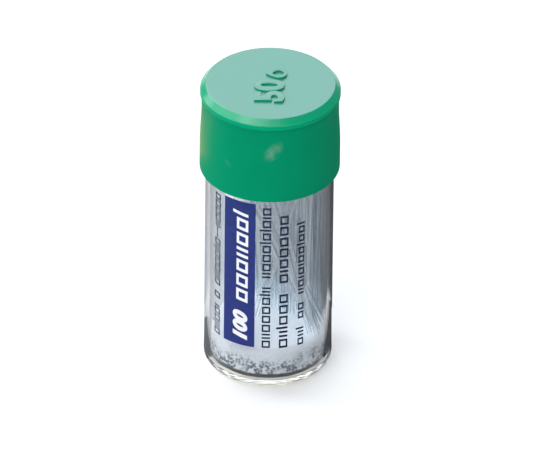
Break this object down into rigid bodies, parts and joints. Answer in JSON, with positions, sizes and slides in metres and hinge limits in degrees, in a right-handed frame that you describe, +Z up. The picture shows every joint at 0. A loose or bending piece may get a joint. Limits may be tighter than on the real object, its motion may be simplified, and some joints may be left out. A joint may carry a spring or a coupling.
{
  "type": "capillary tube vial",
  "caption": "Capped round glass vial holding a bundle of open glass capillary tubes on a soft pad; the cap lifts straight off to pick tubes out.",
  "frame": {"origin": "centre of the vial's foot, on the surface that it stands on", "axes": "+Z up along the vial's axis, towards the cap; -Y is the printed front; +X to the right as one faces the print"},
  "size_m": [0.037, 0.037, 0.0859],
  "materials": {
    "vial_glass": "clear drawn glass, fire-polished mouth",
    "capillary_glass": "clear drawn glass",
    "pad_fibre": "soft matted white fibre",
    "cap_plastic": "satin green moulded polyethylene",
    "ink_blue": "screen-printed ink",
    "ink_dark": "screen-printed ink",
    "ink_white": "screen-printed ink"
  },
  "bodies": {
    "vial": {"vial": "vial_glass", "pad": "pad_fibre", "capillary_01": "capillary_glass", "capillary_02": "capillary_glass", "capillary_03": "capillary_glass", "capillary_04": "capillary_glass", "capillary_05": "capillary_glass", "capillary_06": "capillary_glass", "capillary_07": "capillary_glass", "capillary_08": "capillary_glass", "capillary_09": "capillary_glass", "capillary_10": "capillary_glass", "capillary_11": "capillary_glass", "capillary_12": "capillary_glass", "capillary_13": "capillary_glass", "capillary_14": "capillary_glass", "capillary_15": "capillary_glass", "capillary_16": "capillary_glass", "capillary_17": "capillary_glass", "capillary_18": "capillary_glass", "capillary_19": "capillary_glass", "capillary_20": "capillary_glass", "capillary_21": "capillary_glass", "capillary_22": "capillary_glass", "capillary_23": "capillary_glass", "capillary_24": "capillary_glass", "capillary_25": "capillary_glass", "capillary_26": "capillary_glass", "capillary_27": "capillary_glass", "capillary_28": "capillary_glass", "capillary_29": "capillary_glass", "capillary_30": "capillary_glass", "capillary_31": "capillary_glass", "capillary_32": "capillary_glass", "capillary_33": "capillary_glass", "capillary_34": "capillary_glass", "capillary_35": "capillary_glass", "capillary_36": "capillary_glass", "capillary_37": "capillary_glass", "capillary_38": "capillary_glass", "capillary_39": "capillary_glass", "capillary_40": "capillary_glass", "capillary_41": "capillary_glass", "capillary_42": "capillary_glass", "capillary_43": "capillary_glass", "capillary_44": "capillary_glass", "capillary_45": "capillary_glass", "capillary_46": "capillary_glass", "capillary_47": "capillary_glass", "capillary_48": "capillary_glass", "capillary_49": "capillary_glass", "capillary_50": "capillary_glass", "capillaries_behind": "capillary_glass"},
    "cap": {"cap": "cap_plastic"}
  },
  "joints": [
    {"name": "cap_lift", "type": "slide", "parent": "vial", "child": "cap", "axis": [0, 0, 1], "range_m": [0, 0.04]}
  ]
}
